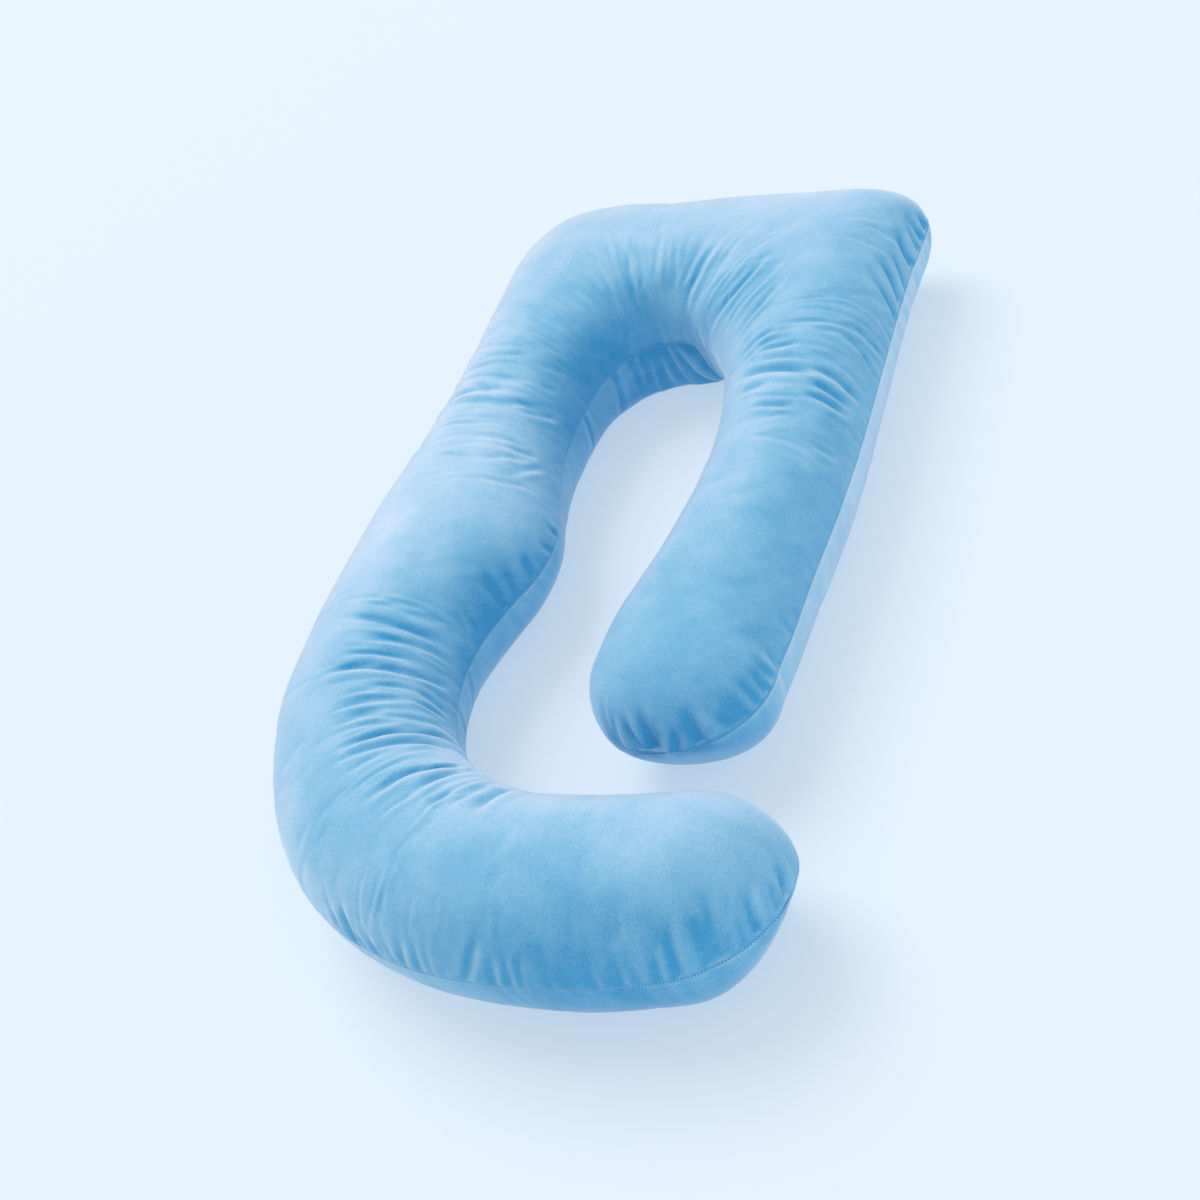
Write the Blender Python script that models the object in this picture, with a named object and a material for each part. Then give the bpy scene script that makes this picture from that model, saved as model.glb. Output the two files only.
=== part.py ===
"""Full-length body pillow: a light blue velour cushion in the shape of a rounded G.

It lies on its back, face up, with +Y along its two arms and +Z out of its face.
Two panels of the same outline meet in one seam that runs all the way round.
The pillow is one filled solid, lofted through a table of rungs.  A rung is the straight
line across the pillow from the seam on the inner side to the seam on the outer side.
"""
import math

import bpy
import numpy as np

CM = 0.01                     # the tables below are in centimetres

SEAM_HEIGHT = 10.0            # of the seam above the floor
SLACK_BELOW = 1.2             # how much deeper than that the back panel would hang if nothing held it
SEAM_DRAW = 0.5               # how far the stitching draws the seam in
OUTER_FULLNESS = 2.1          # of the section's outer half: 2 is an ellipse, more is boxier
ARM_TIP = (20.0, -41.3)       # where the short arm's round end finishes, past the first rung
LOBE_TIP = (39.3, -59.6)      # where the lobe's round end finishes, past the last rung
END_TUCK = 2.0                # how fast the back rises from the floor in a round end: 1 is an ellipse

CUTS_PER_RUNG = 7             # sections lofted from one rung to the next
CUTS_PER_END = 8              # sections in each round end
SIDES = 22                    # points around a section
SMALLEST = 0.06               # share of the end rung's width at the tip of a round end
THIN_AT_SEAM = 1 / 3          # most that the stitching may take of a thin section's half width

# The rungs, from the end of the short right arm up, along the top, down the long left arm
# and round to the end of the lobe.
# inner_x, inner_y, outer_x, outer_y, crown above the seam, fullness of the inner half
RUNGS = (
    (7.0, -31.5, 30.4, -29.2, 9.5, 2.0),       # 0: the short arm's round end
    (7.5, -23.5, 31.0, -23.5, 9.5, 2.0),
    (10.5, -14.0, 31.5, -14.5, 10.0, 2.0),
    (12.5, -3.0, 32.5, -2.5, 10.0, 2.0),
    (13.0, 7.5, 33.0, 9.5, 10.0, 2.0),         # 4: the arm's narrow middle
    (12.0, 17.5, 33.0, 22.5, 10.5, 2.1),
    (10.0, 25.5, 33.0, 35.0, 11.0, 2.2),
    (6.5, 32.5, 33.2, 46.5, 11.0, 2.4),
    (4.0, 35.8, 33.7, 53.5, 11.0, 3.0),
    (2.3, 37.4, 33.7, 59.5, 10.8, 3.2),        # 9: the pointed corner
    (0.8, 38.3, 30.5, 62.5, 11.0, 3.3),
    (-1.0, 38.9, 21.0, 64.0, 11.5, 3.4),
    (-3.0, 39.2, 9.0, 65.5, 12.5, 3.4),
    (-5.0, 39.3, -4.5, 68.0, 12.5, 3.3),
    (-7.2, 38.7, -17.5, 70.8, 13.0, 3.1),
    (-9.4, 37.3, -28.5, 70.0, 13.0, 2.9),      # 15: the round shoulder
    (-11.3, 34.6, -34.5, 62.5, 12.3, 2.7),
    (-12.8, 30.5, -35.5, 51.0, 11.5, 2.5),
    (-13.4, 23.0, -35.5, 38.5, 11.0, 2.3),
    (-13.2, 14.5, -36.0, 27.0, 10.5, 2.2),     # 19: the neck
    (-11.1, 6.0, -37.2, 16.0, 10.5, 2.0),
    (-8.6, -2.5, -39.0, 2.5, 11.0, 1.9),
    (-9.0, -9.0, -39.5, -7.5, 11.0, 1.9),      # 22: the belly
    (-11.8, -16.0, -39.3, -17.5, 11.0, 1.9),
    (-13.6, -23.0, -38.6, -25.5, 11.0, 1.9),
    (-13.1, -31.0, -36.5, -38.5, 11.2, 2.0),   # 25: the bend
    (-9.5, -39.0, -29.2, -53.4, 11.6, 2.0),
    (-2.0, -45.6, -19.0, -64.0, 12.0, 2.1),
    (8.3, -49.9, -4.0, -70.7, 12.0, 2.1),      # 28: the lobe
    (19.0, -51.0, 13.6, -72.8, 11.8, 2.2),
    (28.0, -50.5, 26.5, -71.7, 11.2, 2.2),     # 30: the lobe's round end
)

# The main folds of the cloth, each a soft trough that runs over the panel from one place to
# another.  A place is a rung number and a share of the way across, 0 at the inner seam and
# 1 at the outer one.
# from_rung, from_across, to_rung, to_across, half width, depth
FOLDS = (
    # across the short arm, below the corner
    (5.1, 0.28, 5.0, 0.60, 1.1, 0.5),
    (4.7, 0.30, 4.35, 0.88, 1.2, 0.9),
    (4.15, 0.40, 4.0, 0.84, 1.1, 0.5),
    # into the seam at the pointed corner
    (6.1, 0.98, 6.5, 0.72, 1.2, 0.7),
    (6.8, 1.00, 7.0, 0.78, 1.2, 0.9),
    (7.5, 1.00, 7.6, 0.80, 1.2, 1.0),
    (8.5, 1.00, 8.4, 0.82, 1.2, 0.9),
    (9.6, 1.00, 9.4, 0.80, 1.2, 0.8),
    # the fan over the arch
    (6.3, 0.24, 6.9, 0.44, 1.1, 0.5),
    (7.2, 0.20, 8.0, 0.46, 1.2, 0.9),
    (8.8, 0.16, 9.4, 0.42, 1.1, 0.5),
    (9.9, 0.14, 10.8, 0.46, 1.2, 0.8),
    (11.7, 0.12, 12.3, 0.48, 1.2, 0.5),
    (13.2, 0.10, 13.6, 0.42, 1.2, 0.6),
    (15.2, 0.12, 15.3, 0.36, 1.2, 0.4),
    # across the neck
    (18.3, 0.62, 17.6, 0.24, 1.2, 0.5),
    (19.0, 0.72, 18.6, 0.38, 1.1, 0.6),
    (19.3, 0.70, 18.6, 0.16, 1.3, 1.1),
    (19.7, 0.58, 19.2, 0.14, 1.2, 0.6),
    (20.1, 0.50, 19.9, 0.20, 1.2, 0.5),
    # into the inner seam below the belly
    (21.3, 0.02, 21.2, 0.14, 1.1, 0.6),
    (22.1, 0.02, 22.0, 0.16, 1.2, 0.9),
    (22.8, 0.02, 22.7, 0.20, 1.1, 0.6),
    # the fan round the bend
    (23.9, 0.60, 24.3, 0.08, 1.3, 1.1),
    (24.6, 0.50, 24.7, 0.08, 1.2, 0.7),
    (25.0, 0.58, 25.3, 0.05, 1.3, 0.9),
    (25.6, 0.52, 25.8, 0.04, 1.2, 0.9),
    (26.1, 0.52, 26.3, 0.04, 1.3, 1.1),
    (26.6, 0.52, 26.8, 0.06, 1.3, 1.0),
    (27.0, 0.54, 27.0, 0.10, 1.3, 1.1),
    (27.4, 0.50, 27.4, 0.14, 1.2, 0.9),
    (27.8, 0.48, 27.8, 0.18, 1.2, 0.7),
    # up from the lobe's outer seam
    (27.4, 0.98, 27.3, 0.80, 1.2, 0.7),
    (28.0, 0.99, 28.0, 0.84, 1.1, 0.5),
    (28.5, 0.99, 28.6, 0.78, 1.2, 0.7),
    (28.95, 0.99, 29.05, 0.82, 1.1, 0.5),
    (29.5, 0.99, 29.5, 0.84, 1.1, 0.5),
    (30.1, 0.99, 30.1, 0.80, 1.2, 0.8),
    (30.35, 0.99, 30.33, 0.74, 1.2, 1.0),
    (30.58, 0.98, 30.55, 0.72, 1.2, 0.8),
    (30.8, 0.96, 30.7, 0.66, 1.2, 0.8),
    # round the end of the short arm
    (-0.80, 0.20, -0.58, 0.32, 1.1, 0.6),
    (-0.74, 0.52, -0.50, 0.50, 1.1, 0.7),
    (-0.78, 0.84, -0.56, 0.72, 1.1, 0.7),
    (-0.52, 0.96, -0.42, 0.80, 1.2, 0.8),
    (-0.16, 0.99, -0.12, 0.84, 1.2, 0.8),
)
FOLD_LIP = 0.35               # height of a fold's two raised lips, as a share of its depth
LIP_AWAY = 1.9                # half widths from the middle of the trough to a lip
LIP_SPREAD = 0.7              # half widths over which a lip dies away
FOLD_START = 0.12             # how far into its rise a fold starts and ends, so it isn't cut off sharply
FOLD_EVENNESS = 0.6           # how level a fold's depth is along its middle: less is more level
FOLD_PLACES = 9               # places worked out along one fold
FLOOR_FADE = 4.0              # height above the floor over which the back's folds come in

VELOUR_BLUE = (0.20, 0.52, 0.83, 1.0)


def between_rungs(at):
    """The rung at a fractional number, read from a smooth curve through the table."""
    at = min(max(at, 0.0), len(RUNGS) - 1.0)
    low = min(int(at), len(RUNGS) - 2)
    share = at - low
    last = len(RUNGS) - 1
    before, start, end, after = (RUNGS[min(max(low + step, 0), last)] for step in (-1, 0, 1, 2))
    blend = []
    for p, q, r, s in zip(before, start, end, after):
        blend.append(q + 0.5 * share * (r - p + share * (2 * p - 5 * q + 4 * r - s
                                                         + share * (3 * (q - r) + s - p))))
    return blend


def section_frame(at):
    """Middle, half rung, crown, depth below the seam and inner fullness of one section.

    Places below 0 lie in the short arm's round end, and places above the last rung in the lobe's.
    """
    last = len(RUNGS) - 1
    inner_x, inner_y, outer_x, outer_y, crown, fullness = between_rungs(at)
    middle = np.array([(inner_x + outer_x) / 2, (inner_y + outer_y) / 2])
    half = np.array([(outer_x - inner_x) / 2, (outer_y - inner_y) / 2])
    below = max(crown, SEAM_HEIGHT + SLACK_BELOW)
    if at < 0 or at > last:
        past_end, tip = (-at, ARM_TIP) if at < 0 else (at - last, LOBE_TIP)
        turn = past_end * math.pi / 2
        size = max(math.cos(turn), SMALLEST)
        middle = middle + (np.array(tip) - middle) * math.sin(turn)
        half = half * size
        crown = crown * size
        below = below * size ** END_TUCK
    return middle, half, crown, below, fullness


def skin_point(at, around):
    """A point of the skin, in centimetres with the seam at height 0.

    around turns once about the section: 0 is the inner seam, 1 the outer seam and 2 the inner
    seam again, over the face first and then under the back.
    """
    middle, half, crown, below, fullness = section_frame(at)
    turn = around * math.pi
    across = -math.cos(turn)
    up = math.sin(turn)
    power = 2 / (fullness if across < 0 else OUTER_FULLNESS)
    across = math.copysign(abs(across) ** power, across)
    up = math.copysign(abs(up) ** power, up)
    height = up * (crown if up > 0 else below)
    x, y = middle + half * across
    return np.array([x, y, max(height, -SEAM_HEIGHT)])


def stations():
    """Places of the sections along the pillow, from tip to tip."""
    ends = [step / CUTS_PER_END for step in range(1, CUTS_PER_END + 1)]
    run = [step / CUTS_PER_RUNG for step in range((len(RUNGS) - 1) * CUTS_PER_RUNG + 1)]
    last = len(RUNGS) - 1
    return [-share for share in reversed(ends)] + run + [last + share for share in ends]


def smooth_skin():
    """The skin before it is folded: rows of points, one row for each section."""
    rows = [[skin_point(at, 2 * side / SIDES) for side in range(SIDES)] for at in stations()]
    return np.array(rows)


def outward(skin):
    """The direction out of the skin at each of its points."""
    along = np.gradient(skin, axis=0)
    around = np.roll(skin, -1, axis=1) - np.roll(skin, 1, axis=1)
    normal = np.cross(along, around)
    normal /= np.maximum(np.linalg.norm(normal, axis=2, keepdims=True), 1e-9)
    to_middle = skin - skin.mean(axis=1, keepdims=True)
    facing = np.sign((normal * to_middle).sum(axis=2).sum())
    return normal * facing


def fold_line(from_rung, from_across, to_rung, to_across):
    """Points along one fold on the face."""
    shares = np.linspace(0, 1, FOLD_PLACES)
    return np.array([skin_point(from_rung + (to_rung - from_rung) * share,
                                from_across + (to_across - from_across) * share)
                     for share in shares])


def fold_depth(points, line, half_width, depth):
    """How far one fold draws the points in: a trough with two low lips that fades at its ends."""
    steps = np.linalg.norm(np.diff(line, axis=0), axis=1)
    run = np.concatenate([[0.0], np.cumsum(steps)])
    far = np.linalg.norm(points[:, None] - line[None], axis=2)
    nearest = far.argmin(axis=1)
    sideways = far[np.arange(len(points)), nearest] / half_width
    share = np.clip(run[nearest] / run[-1], FOLD_START, 1 - FOLD_START)
    fade = np.sin(np.pi * share) ** FOLD_EVENNESS
    trough = np.exp(-sideways ** 2)
    lips = FOLD_LIP * np.exp(-((sideways - LIP_AWAY) / LIP_SPREAD) ** 2)
    return depth * fade * (trough - lips)


def folded(skin):
    """The skin with its folds drawn in, on the face and, mirrored, on the back above the floor."""
    normal = outward(skin)
    flat = skin.reshape(-1, 3)
    mirrored = flat * [1, 1, -1]
    draw = np.zeros(len(flat))
    on_back = flat[:, 2] < 0
    off_floor = np.clip((flat[:, 2] + SEAM_HEIGHT) / FLOOR_FADE, 0, 1)
    for from_rung, from_across, to_rung, to_across, half_width, depth in FOLDS:
        line = fold_line(from_rung, from_across, to_rung, to_across)
        draw += fold_depth(np.where(on_back[:, None], mirrored, flat), line, half_width, depth)
    draw = np.where(on_back, draw * off_floor, draw)
    return skin - normal * draw.reshape(skin.shape[:2] + (1,))


def seam_drawn_in(skin):
    """The skin with its two seam lines pulled towards the middle of the section."""
    drawn = skin.copy()
    for side in (0, SIDES // 2):
        inwards = skin.mean(axis=1) - skin[:, side]
        inwards[:, 2] = 0
        width = np.maximum(np.linalg.norm(inwards, axis=1, keepdims=True), 1e-9)
        drawn[:, side] += inwards / width * np.minimum(SEAM_DRAW, width * THIN_AT_SEAM)
    return drawn


def rested(skin):
    """The skin on the floor: nothing lies below it, and its middle is over the origin."""
    skin = skin + [0, 0, SEAM_HEIGHT]
    skin[..., 2] = np.maximum(skin[..., 2], 0)
    corners = skin.reshape(-1, 3)
    middle = (corners.min(axis=0) + corners.max(axis=0)) / 2
    return skin - [middle[0], middle[1], 0]


def closed_mesh(name, skin):
    """One closed mesh from the rows of points, with a point at the tip of each round end."""
    rows, sides = skin.shape[:2]
    points = [tuple(point * CM) for point in skin.reshape(-1, 3)]
    tips = [tuple(skin[row].mean(axis=0) * CM) for row in (0, rows - 1)]
    faces = []
    for row in range(rows - 1):
        for side in range(sides):
            turn = (side + 1) % sides
            faces.append((row * sides + side, row * sides + turn,
                          (row + 1) * sides + turn, (row + 1) * sides + side))
    first_tip, last_tip = len(points), len(points) + 1
    last_row = (rows - 1) * sides
    for side in range(sides):
        turn = (side + 1) % sides
        faces.append((first_tip, turn, side))
        faces.append((last_tip, last_row + side, last_row + turn))
    mesh = bpy.data.meshes.new(name)
    mesh.from_pydata(points + tips, [], faces)
    return mesh


def velour():
    """Light blue velour."""
    material = bpy.data.materials.new("velour")
    material.use_nodes = True
    shader = material.node_tree.nodes["Principled BSDF"]
    shader.inputs["Base Color"].default_value = VELOUR_BLUE
    shader.inputs["Roughness"].default_value = 0.9
    shader.inputs["Metallic"].default_value = 0.0
    return material


def make_pillow():
    """The one filled solid, its faces turned outwards."""
    skin = rested(seam_drawn_in(folded(smooth_skin())))
    mesh = closed_mesh("pillow", skin)
    mesh.materials.append(velour())
    pillow = bpy.data.objects.new("pillow", mesh)
    bpy.context.collection.objects.link(pillow)
    bpy.ops.object.select_all(action="DESELECT")
    pillow.select_set(True)
    bpy.context.view_layer.objects.active = pillow
    bpy.ops.object.mode_set(mode="EDIT")
    bpy.ops.mesh.select_all(action="SELECT")
    bpy.ops.mesh.normals_make_consistent(inside=False)
    bpy.ops.object.mode_set(mode="OBJECT")
    bpy.ops.object.shade_smooth()
    return pillow


for old in list(bpy.data.objects):
    bpy.data.objects.remove(old, do_unlink=True)
make_pillow()
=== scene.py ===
# %% [markdown]
# # A full-length body pillow in blue velour
#
# The pillow is a filled tube of velour, bent into a rounded G.
# Two panels of the same outline meet in one seam, which runs all the way round at about half
# its height.
# The plain solid of it is loaded first, and everything below is made in the same frame:
# +Y runs along the two arms, +Z comes out of the face, and the floor is at height 0.

import math

import bpy
import numpy as np
from mathutils import Matrix, Vector, kdtree


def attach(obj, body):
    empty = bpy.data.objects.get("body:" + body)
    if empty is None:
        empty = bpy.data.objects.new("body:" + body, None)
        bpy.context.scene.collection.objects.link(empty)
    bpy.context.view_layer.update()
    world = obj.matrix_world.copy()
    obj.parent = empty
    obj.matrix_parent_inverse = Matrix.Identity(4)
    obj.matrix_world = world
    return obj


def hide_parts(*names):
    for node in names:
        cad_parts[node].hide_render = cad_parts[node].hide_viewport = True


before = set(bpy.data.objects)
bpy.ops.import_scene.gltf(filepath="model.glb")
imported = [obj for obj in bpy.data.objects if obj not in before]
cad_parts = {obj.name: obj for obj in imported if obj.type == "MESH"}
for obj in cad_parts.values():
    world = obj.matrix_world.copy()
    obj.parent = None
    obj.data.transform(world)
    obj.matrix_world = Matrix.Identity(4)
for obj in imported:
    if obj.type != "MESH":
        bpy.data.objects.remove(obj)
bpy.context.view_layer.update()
CM = 0.01  # the tables below are in centimetres

# %% [markdown]
# ## The camera
#
# The pillow lies on its back here, and the camera looks at its face from the same side as in
# the photograph.
# That takes three angles: how far the camera leans away from straight above, which way it
# leans, and how far it is rolled.
# A camera's matrix holds its own right, up and back directions as columns, so the three
# directions are worked out first.

# %% Camera
CAMERA_LEAN = 52.6  # degrees away from straight above
CAMERA_SIDE = -53.1  # degrees round from +X
X_AXIS_RISE = 5.0  # degrees that the pillow's X axis climbs in the picture
AIM = Vector((0.02, -0.14, 0.10))  # what the middle of the picture shows
DISTANCE = 2.18
FOCAL_PIXELS, PICTURE_PIXELS, SENSOR_MM = 1690, 1200, 36.0

lean, side = math.radians(CAMERA_LEAN), math.radians(CAMERA_SIDE)
back = Vector((math.sin(lean) * math.cos(side), math.sin(lean) * math.sin(side), math.cos(lean)))
up = (Vector((0, 1, 0)) - back * back.y).normalized()
right = up.cross(back)
roll = math.radians(X_AXIS_RISE) - math.atan2(up.x, right.x)
right, up = (
    right * math.cos(roll) - up * math.sin(roll),
    right * math.sin(roll) + up * math.cos(roll),
)

camera_data = bpy.data.cameras.new("camera")
camera_data.sensor_width = SENSOR_MM
camera_data.lens = SENSOR_MM * FOCAL_PIXELS / PICTURE_PIXELS
camera = bpy.data.objects.new("camera", camera_data)
bpy.context.collection.objects.link(camera)
camera.matrix_world = (
    Matrix.Translation(AIM + back * DISTANCE) @ Matrix((right, up, back)).transposed().to_4x4()
)
bpy.context.scene.camera = camera
print("camera at", [round(value, 2) for value in camera.matrix_world.translation])

# %% [markdown]
# ## The pattern
#
# A tailor would cut two G-shaped panels.
# Here the same outline is given by rungs: each rung is the straight line across the pillow,
# from the seam on the inner side to the seam on the outer side.
# Every place on the cloth then has two numbers.
# The first is a rung number, which counts along the pillow.
# The second goes round it: 0 is the inner seam, 1 the outer seam and 2 the inner seam again,
# over the face first and back under the pillow.

# %% Rungs
SEAM_HEIGHT = 10.0
SLACK_BELOW = 1.2  # how much deeper the back would hang if the floor didn't hold it
TO_FRAME = (-0.17, 0.96)  # moves the table's origin to the frame's
ARM_TIP = (20.0, -41.3)
LOBE_TIP = (39.3, -59.6)
END_TUCK = 2.0  # how fast the back rises from the floor in a round end
OUTER_FULLNESS = 2.1  # of the section's outer half: 2 is an ellipse, more is boxier

# inner_x, inner_y, outer_x, outer_y, crown above the seam, fullness of the inner half
RUNGS = np.array([
    (7.0, -31.5, 30.4, -29.2, 9.5, 2.0),  # 0: the short arm's round end
    (7.5, -23.5, 31.0, -23.5, 9.5, 2.0),
    (10.5, -14.0, 31.5, -14.5, 10.0, 2.0),
    (12.5, -3.0, 32.5, -2.5, 10.0, 2.0),
    (13.0, 7.5, 33.0, 9.5, 10.0, 2.0),
    (12.0, 17.5, 33.0, 22.5, 10.5, 2.1),
    (10.0, 25.5, 33.0, 35.0, 11.0, 2.2),
    (6.5, 32.5, 33.2, 46.5, 11.0, 2.4),
    (4.0, 35.8, 33.7, 53.5, 11.0, 3.0),
    (2.3, 37.4, 33.7, 59.5, 10.8, 3.2),  # 9: the pointed corner
    (0.8, 38.3, 30.5, 62.5, 11.0, 3.3),
    (-1.0, 38.9, 21.0, 64.0, 11.5, 3.4),
    (-3.0, 39.2, 9.0, 65.5, 12.5, 3.4),
    (-5.0, 39.3, -4.5, 68.0, 12.5, 3.3),
    (-7.2, 38.7, -17.5, 70.8, 13.0, 3.1),
    (-9.4, 37.3, -28.5, 70.0, 13.0, 2.9),  # 15: the round shoulder
    (-11.3, 34.6, -34.5, 62.5, 12.3, 2.7),
    (-12.8, 30.5, -35.5, 51.0, 11.5, 2.5),
    (-13.4, 23.0, -35.5, 38.5, 11.0, 2.3),
    (-13.2, 14.5, -36.0, 27.0, 10.5, 2.2),  # 19: the neck
    (-11.1, 6.0, -37.2, 16.0, 10.5, 2.0),
    (-8.6, -2.5, -39.0, 2.5, 11.0, 1.9),
    (-9.0, -9.0, -39.5, -7.5, 11.0, 1.9),  # 22: the belly
    (-11.8, -16.0, -39.3, -17.5, 11.0, 1.9),
    (-13.6, -23.0, -38.6, -25.5, 11.0, 1.9),
    (-13.1, -31.0, -36.5, -38.5, 11.2, 2.0),  # 25: the bend
    (-9.5, -39.0, -29.2, -53.4, 11.6, 2.0),
    (-2.0, -45.6, -19.0, -64.0, 12.0, 2.1),
    (8.3, -49.9, -4.0, -70.7, 12.0, 2.1),  # 28: the lobe
    (19.0, -51.0, 13.6, -72.8, 11.8, 2.2),
    (28.0, -50.5, 26.5, -71.7, 11.2, 2.2),  # 30: the lobe's round end
])
LAST = len(RUNGS) - 1


def rungs_at(places):
    """The rungs at fractional places, read from a smooth curve through the table."""
    places = np.clip(places, 0, LAST)
    low = np.minimum(places.astype(int), LAST - 1)
    share = (places - low)[:, None]
    before, start, end, after = (RUNGS[np.clip(low + step, 0, LAST)] for step in (-1, 0, 1, 2))
    curve = 2 * before - 5 * start + 4 * end - after + share * (3 * (start - end) + after - before)
    return start + 0.5 * share * (end - before + share * curve)


def smooth_skin(places, arounds):
    """The filled shape without any fold: a row of points for each place."""
    rungs = rungs_at(places)
    middle, half = (rungs[:, 0:2] + rungs[:, 2:4]) / 2, (rungs[:, 2:4] - rungs[:, 0:2]) / 2
    crown, fullness = rungs[:, 4], rungs[:, 5]
    below = np.maximum(crown, SEAM_HEIGHT + SLACK_BELOW)
    for past, tip in ((-places, ARM_TIP), (places - LAST, LOBE_TIP)):
        turn = np.clip(past, 0, 1) * math.pi / 2
        size = np.cos(turn)
        middle = middle + (np.array(tip) - middle) * np.sin(turn)[:, None]
        half, crown, below = half * size[:, None], crown * size, below * size**END_TUCK
    across, rise = -np.cos(arounds * math.pi)[None], np.sin(arounds * math.pi)[None]
    power = 2 / np.where(across < 0, fullness[:, None], OUTER_FULLNESS)
    across = np.sign(across) * np.abs(across) ** power
    rise = np.sign(rise) * np.abs(rise) ** power
    height = rise * np.where(rise > 0, crown[:, None], below[:, None])
    skin = np.empty(across.shape + (3,))
    skin[..., :2] = middle[:, None] + half[:, None] * across[..., None] + TO_FRAME
    skin[..., 2] = np.maximum(height + SEAM_HEIGHT, 0)
    return skin * CM


print("rungs:", len(RUNGS))

# %% [markdown]
# ## Where the cloth gets its points
#
# Folds need points close together, and they need them most near the seam.
# So the rows are spread evenly along the pillow, also where it bends, and closer together in the
# four stretches that have the most folds.
# The points of a row are closer together at the two seams than on the crown and under the back.
# Remeshing would give points anywhere it likes, and the folds and the seam need to know where
# each point is, so the grid is laid out here.
# It is the coarse one for the simulation, and it is made twice as fine later.

# %% Rows and points
ROWS = 470
FACE_POINTS, BACK_POINTS = 32, 20
CROWDING = 0.5  # how much closer the points are at the seams: 0 is not at all
TIP_PLACE = 0.965  # how far into a round end the last row is
BESIDE_SEAM = 0.4  # where the one extra point next to a seam is, as a share of the first gap
TRIAL_ROWS = 4000  # for measuring the length, before the rows are laid out

# from_rung, to_rung, how much closer together the rows are there
CLOSE_ROWS = [
    (3.3, 9.0, 1.5),
    (17.0, 20.8, 1.9),
    (23.6, 28.0, 1.9),
    (28.0, 31.0, 1.3),
]
BLEND = 0.5  # how gradually such a stretch begins and ends: more is more gradual


def even_rows(count):
    """Places of the rows, at even steps but for the stretches of CLOSE_ROWS."""
    trial = np.linspace(-TIP_PLACE, LAST + TIP_PLACE, TRIAL_ROWS)
    lines = smooth_skin(trial, np.array([0.0, 0.5, 1.0]))
    steps = np.linalg.norm(np.diff(lines, axis=0), axis=2).mean(axis=1)
    print("length along the pillow, m:", round(steps.sum(), 2))
    closer = np.ones(len(steps))
    for from_rung, to_rung, times in CLOSE_ROWS:
        inside = (trial[1:] - from_rung) * (to_rung - trial[1:])
        closer += (times - 1) * np.clip(inside / BLEND, 0, 1)
    run = np.concatenate([[0], np.cumsum(steps * closer)])
    return np.interp(np.linspace(0, run[-1], count), run, trial)


def crowded(points):
    """Shares from 0 up to 1, closer together near both ends."""
    even = np.arange(points - 2) / (points - 2)
    shares = even - CROWDING * np.sin(2 * math.pi * even) / (2 * math.pi)
    beside = BESIDE_SEAM * shares[1]
    return np.concatenate([[0, beside], shares[1:], [1 - beside]])


places = even_rows(ROWS)
arounds = np.concatenate([crowded(FACE_POINTS), 1 + crowded(BACK_POINTS)])
blank = smooth_skin(places, arounds)
print("coarse grid:", blank.shape[:2])

# %% [markdown]
# ## From rows of points to a mesh
#
# A padded piece is easiest to make in mesh code: each row is joined to the next with quads,
# and each round end is closed with a small fan.
# The same helper makes the blank for the simulation and the finished cover.

# %% Mesh helpers
def closed_skin(name, skin):
    """One closed mesh from the rows of points, with its faces outwards."""
    rows, sides = skin.shape[:2]
    tips = [skin[row].mean(axis=0) for row in (0, -1)]
    points = np.concatenate([skin.reshape(-1, 3), tips])
    row, column = np.meshgrid(np.arange(rows - 1), np.arange(sides), indexing="ij")
    turn = (column + 1) % sides
    quads = np.stack([row * sides + column, row * sides + turn,
                      (row + 1) * sides + turn, (row + 1) * sides + column], axis=-1).reshape(-1, 4)
    first, last, end = rows * sides, rows * sides + 1, (rows - 1) * sides
    fans = [(first, (corner + 1) % sides, corner) for corner in range(sides)]
    fans += [(last, end + corner, end + (corner + 1) % sides) for corner in range(sides)]
    mesh = bpy.data.meshes.new(name)
    mesh.from_pydata(points.tolist(), [], quads.tolist() + fans)
    piece = bpy.data.objects.new(name, mesh)
    bpy.context.collection.objects.link(piece)
    return piece


def chosen_alone(piece):
    """Selects one piece only, so that an operator acts on nothing else."""
    bpy.ops.object.select_all(action="DESELECT")
    piece.select_set(True)
    bpy.context.view_layer.objects.active = piece


def positions(piece):
    """The piece's points as an array."""
    flat = np.empty(len(piece.data.vertices) * 3)
    piece.data.vertices.foreach_get("co", flat)
    return flat.reshape(-1, 3)


# %% [markdown]
# ## Blowing the cover up
#
# Real filling presses on the cover from inside, while the seam holds its edge short.
# The cloth between has a little too much length for the seam, and that is why a pillow
# puckers.
# The simulation does just this: pressure inside, gravity off, the cloth a little too long,
# the seam and the part on the floor held still, and the rest held softly, as by the filling.
# The large shape is right already, so only the ripples of the result are kept, and the move
# of each point is capped.

# %% Simulate the filling
PRESSURE = 4.0
SPARE_CLOTH = 0.02
STIFFNESS = 2.0  # against bending: more gives broader ripples
SOFT_HOLD = 0.2  # how firmly the filling holds the cover: 1 is not moving at all
LAST_FRAME = 20
RIPPLE_SHARE = 0.2  # how much of the ripples is kept
MOST_MOVE = 0.2 * CM
RIPPLE_STEPS = 60  # of blurring: what is left after it counts as the large shape
ON_FLOOR = 0.05 * CM  # cloth lower than this is held still


def blurred(grid, steps):
    """The grid with each point moved towards its neighbours, many times over."""
    for _ in range(steps):
        grid = (np.roll(grid, 1, axis=1) + 2 * grid + np.roll(grid, -1, axis=1)) / 4
        ends = np.concatenate([grid[:1], grid, grid[-1:]])
        grid = (ends[:-2] + 2 * ends[1:-1] + ends[2:]) / 4
    return grid


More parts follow.
